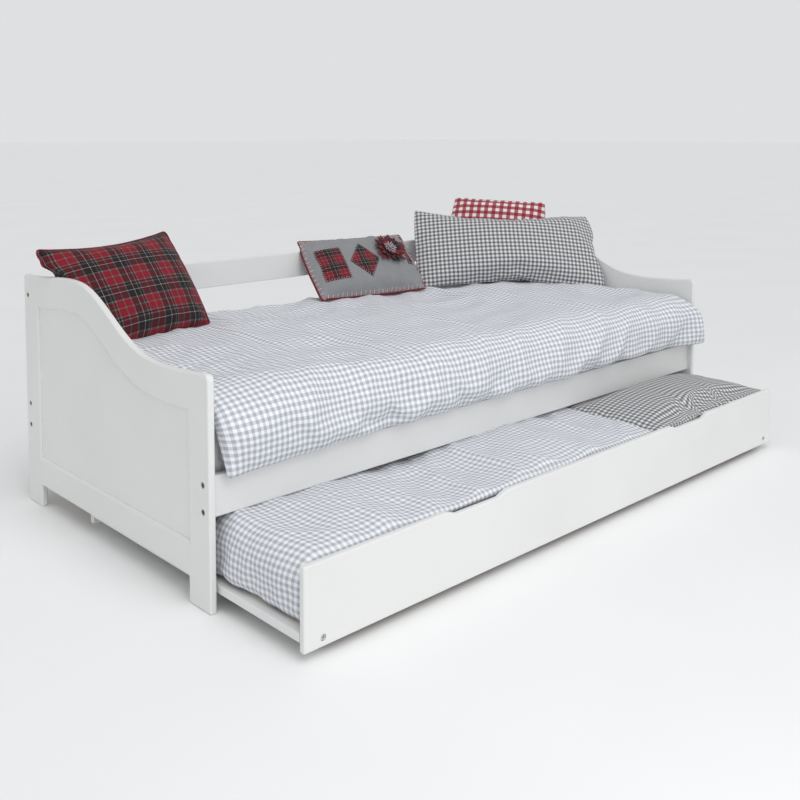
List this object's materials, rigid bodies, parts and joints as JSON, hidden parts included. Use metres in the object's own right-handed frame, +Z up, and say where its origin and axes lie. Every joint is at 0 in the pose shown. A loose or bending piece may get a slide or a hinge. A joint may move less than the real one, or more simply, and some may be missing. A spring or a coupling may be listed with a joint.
{
  "type": "trundle bed",
  "caption": "White painted daybed with scrolled framed ends and a back rail, a low drawer-like second bed on castors below it, and its mattresses, duvets, pillows and cushions.",
  "frame": {"origin": "on the floor, in the middle of the footprint with the trundle partly drawn out", "axes": "+X along the bed towards its right end seen from the front, +Y towards the back, +Z up"},
  "size_m": [2.06, 1.276, 0.7969],
  "materials": {
    "white_paint": "satin",
    "bare_pine": "matte",
    "zinc_steel": "satin",
    "bronze_bolt": "satin",
    "castor_tyre": "satin",
    "mattress_ticking": "matte",
    "duvet_gingham": "matte",
    "pillow_gingham": "matte",
    "tartan_wool": "matte",
    "grey_wool": "matte",
    "red_gingham": "matte"
  },
  "bodies": {
    "daybed": {"back_rail_dowels": "bare_pine", "back_side_rail": "white_paint", "back_slat_ledge": "bare_pine", "back_top_rail": "white_paint", "duvet": "duvet_gingham", "frame_barrel_nuts": "zinc_steel", "frame_bolts": "bronze_bolt", "front_side_rail": "white_paint", "front_slat_ledge": "bare_pine", "gingham_pillow": "pillow_gingham", "ledge_screws": "zinc_steel", "left_bottom_rail": "white_paint", "left_end_panel": "white_paint", "left_front_post": "white_paint", "left_rear_post": "white_paint", "left_top_rail": "white_paint", "mattress": "mattress_ticking", "red_gingham_cushion": "red_gingham", "right_bottom_rail": "white_paint", "right_end_panel": "white_paint", "right_front_post": "white_paint", "right_rear_post": "white_paint", "right_top_rail": "white_paint", "slat_01": "bare_pine", "slat_02": "bare_pine", "slat_03": "bare_pine", "slat_04": "bare_pine", "slat_05": "bare_pine", "slat_06": "bare_pine", "slat_07": "bare_pine", "slat_08": "bare_pine", "slat_09": "bare_pine", "slat_10": "bare_pine", "slat_11": "bare_pine", "slat_12": "bare_pine", "slat_screws": "zinc_steel", "tartan_cushion": "tartan_wool", "wool_cushion": "grey_wool"},
    "trundle": {"castor_axles": "zinc_steel", "castor_housings": "zinc_steel", "castor_screws": "zinc_steel", "trundle_barrel_nuts": "zinc_steel", "trundle_bearer_1": "white_paint", "trundle_bearer_2": "white_paint", "trundle_bearer_3": "white_paint", "trundle_bearer_4": "white_paint", "trundle_bolts": "zinc_steel", "trundle_dowels": "bare_pine", "trundle_duvet": "duvet_gingham", "trundle_front_panel": "white_paint", "trundle_left_batten": "white_paint", "trundle_mattress": "mattress_ticking", "trundle_pillow": "pillow_gingham", "trundle_rear_board": "white_paint", "trundle_right_batten": "white_paint", "trundle_slats": "bare_pine"},
    "castor_wheel_front_left": {"castor_wheel_front_left": "castor_tyre"},
    "castor_wheel_front_right": {"castor_wheel_front_right": "castor_tyre"},
    "castor_wheel_rear_left": {"castor_wheel_rear_left": "castor_tyre"},
    "castor_wheel_rear_right": {"castor_wheel_rear_right": "castor_tyre"}
  },
  "joints": [
    {"name": "trundle_slide", "type": "slide", "parent": "daybed", "child": "trundle", "axis": [0, -1, 0], "range_m": [-0.324, 0.65]},
    {"name": "castor_wheel_front_left_roll", "type": "hinge", "parent": "trundle", "child": "castor_wheel_front_left", "pos_m": [-0.9295, -0.498, 0.02], "axis": [1, 0, 0], "continuous": true},
    {"name": "castor_wheel_front_right_roll", "type": "hinge", "parent": "trundle", "child": "castor_wheel_front_right", "pos_m": [0.9295, -0.498, 0.02], "axis": [1, 0, 0], "continuous": true},
    {"name": "castor_wheel_rear_left_roll", "type": "hinge", "parent": "trundle", "child": "castor_wheel_rear_left", "pos_m": [-0.9295, 0.157, 0.02], "axis": [1, 0, 0], "continuous": true},
    {"name": "castor_wheel_rear_right_roll", "type": "hinge", "parent": "trundle", "child": "castor_wheel_rear_right", "pos_m": [0.9295, 0.157, 0.02], "axis": [1, 0, 0], "continuous": true}
  ],
  "couplings": [
    {"joint": "castor_wheel_front_left_roll", "follows": "trundle_slide", "rad_per_m": 50},
    {"joint": "castor_wheel_front_right_roll", "follows": "trundle_slide", "rad_per_m": 50},
    {"joint": "castor_wheel_rear_left_roll", "follows": "trundle_slide", "rad_per_m": 50},
    {"joint": "castor_wheel_rear_right_roll", "follows": "trundle_slide", "rad_per_m": 50}
  ]
}
